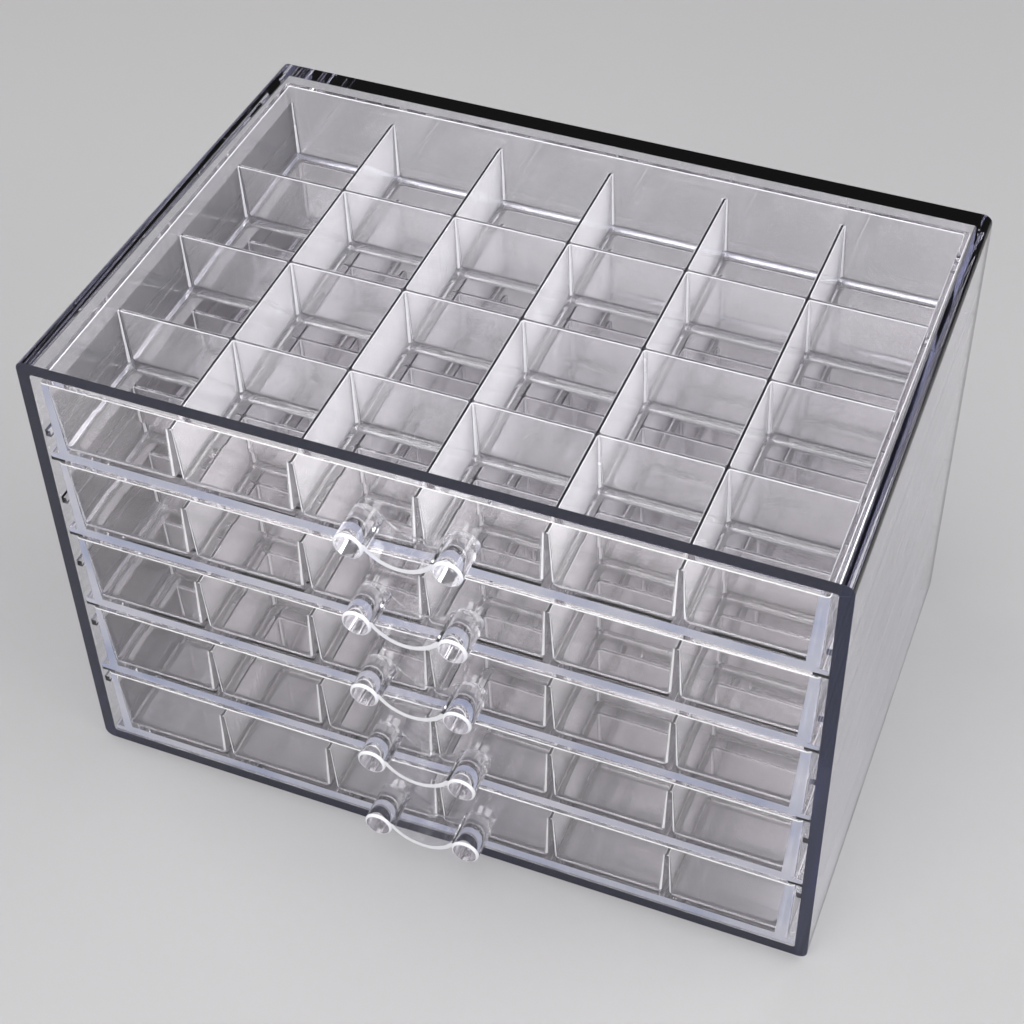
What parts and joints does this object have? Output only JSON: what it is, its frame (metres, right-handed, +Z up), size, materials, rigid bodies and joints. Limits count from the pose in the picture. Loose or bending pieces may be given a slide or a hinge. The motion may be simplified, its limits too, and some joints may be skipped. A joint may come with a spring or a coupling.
{
  "type": "bead storage box",
  "caption": "Clear plastic box, open at the front, with stacked sliding drawers divided into square compartments, each pulled by a two-post handle with a curved web.",
  "frame": {"origin": "centre of the case's underside", "axes": "+Z up, +X to the right seen from the front, and the drawers open towards -Y"},
  "size_m": [0.24, 0.1723, 0.164],
  "materials": {
    "case_clear": "polished clear",
    "drawer_clear": "polished clear",
    "handle_clear": "polished clear"
  },
  "bodies": {
    "case": {"case": "case_clear"},
    "drawer_1": {"drawer_1": "drawer_clear", "handle_1": "handle_clear"},
    "drawer_2": {"drawer_2": "drawer_clear", "handle_2": "handle_clear"},
    "drawer_3": {"drawer_3": "drawer_clear", "handle_3": "handle_clear"},
    "drawer_4": {"drawer_4": "drawer_clear", "handle_4": "handle_clear"},
    "drawer_5": {"drawer_5": "drawer_clear", "handle_5": "handle_clear"}
  },
  "joints": [
    {"name": "drawer_1_slide", "type": "slide", "parent": "case", "child": "drawer_1", "axis": [0, -1, 0], "range_m": [0, 0.11]},
    {"name": "drawer_2_slide", "type": "slide", "parent": "case", "child": "drawer_2", "axis": [0, -1, 0], "range_m": [0, 0.11]},
    {"name": "drawer_3_slide", "type": "slide", "parent": "case", "child": "drawer_3", "axis": [0, -1, 0], "range_m": [0, 0.11]},
    {"name": "drawer_4_slide", "type": "slide", "parent": "case", "child": "drawer_4", "axis": [0, -1, 0], "range_m": [0, 0.11]},
    {"name": "drawer_5_slide", "type": "slide", "parent": "case", "child": "drawer_5", "axis": [0, -1, 0], "range_m": [0, 0.11]}
  ]
}
